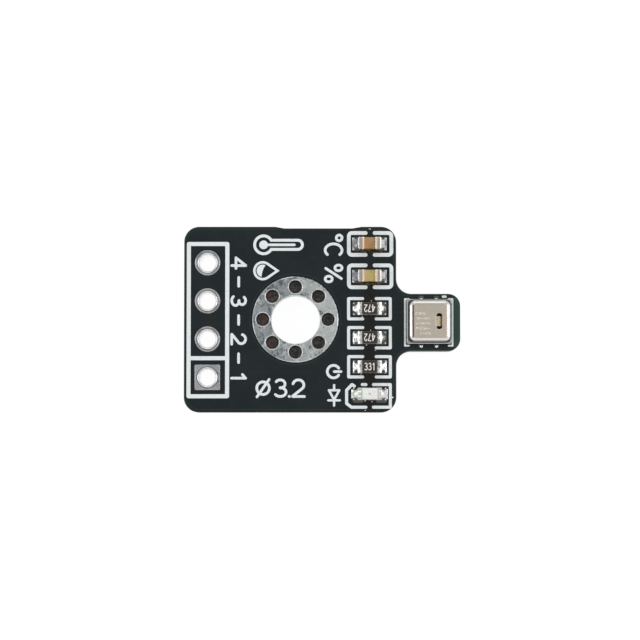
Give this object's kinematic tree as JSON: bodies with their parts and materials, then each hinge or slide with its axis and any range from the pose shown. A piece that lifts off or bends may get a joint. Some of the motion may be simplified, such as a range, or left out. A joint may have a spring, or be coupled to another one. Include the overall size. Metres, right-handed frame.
{
  "type": "temperature humidity sensor module",
  "caption": "Black circuit board with a sensor package on a narrow tab, a plated mounting hole, a header of plated holes and a column of chips; senses temperature and humidity.",
  "frame": {"origin": "centre of the mounting hole at the board's underside", "axes": "+Z out of the side that carries the chips, +X along the sensor tab, +Y towards the header hole that lies furthest from the square pad"},
  "size_m": [0.0184, 0.0124, 0.0026],
  "materials": {
    "solder_mask": "semi-gloss black mask over laminate",
    "tin_plating": "dull plated tin, scuffed",
    "via_plug": "dark resin",
    "legend_ink": "matte white ink",
    "land_tin": "tinned copper",
    "solder": "bright reflowed solder",
    "ceramic_brown": "satin",
    "ceramic_tan": "satin",
    "end_metal": "satin tin",
    "alumina": "matte",
    "overcoat": "semi-gloss glass coat",
    "led_base": "satin",
    "led_lens": "milky moulded resin",
    "led_die": "satin",
    "sensor_base": "matte laminate",
    "sensor_lid": "drawn metal, satin",
    "sensing_element": "satin",
    "silicon": "polished"
  },
  "bodies": {
    "root": {"printed_circuit_board": "solder_mask", "mounting_ring": "tin_plating", "via_plugs": "via_plug", "header_eyelet_1": "tin_plating", "header_eyelet_2": "tin_plating", "header_eyelet_3": "tin_plating", "header_eyelet_4": "tin_plating", "header_legend": "legend_ink", "thermometer_legend": "legend_ink", "droplet_legend": "legend_ink", "chip_legend": "legend_ink", "sensor_legend": "legend_ink", "copper_lands": "land_tin", "capacitor_1_ceramic": "ceramic_brown", "capacitor_1_end_caps": "end_metal", "capacitor_1_solder": "solder", "capacitor_2_ceramic": "ceramic_tan", "capacitor_2_end_caps": "end_metal", "capacitor_2_solder": "solder", "resistor_1_substrate": "alumina", "resistor_1_overcoat": "overcoat", "resistor_1_end_wraps": "end_metal", "resistor_1_solder": "solder", "resistor_2_substrate": "alumina", "resistor_2_overcoat": "overcoat", "resistor_2_end_wraps": "end_metal", "resistor_2_solder": "solder", "resistor_3_substrate": "alumina", "resistor_3_overcoat": "overcoat", "resistor_3_end_wraps": "end_metal", "resistor_3_solder": "solder", "led_base": "led_base", "led_lens": "led_lens", "led_die": "led_die", "led_terminals": "end_metal", "led_solder": "solder", "sensor_base": "sensor_base", "sensor_lid": "sensor_lid", "sensor_element": "sensing_element", "sensor_readout_chip": "silicon", "sensor_solder": "solder"}
  },
  "joints": []
}
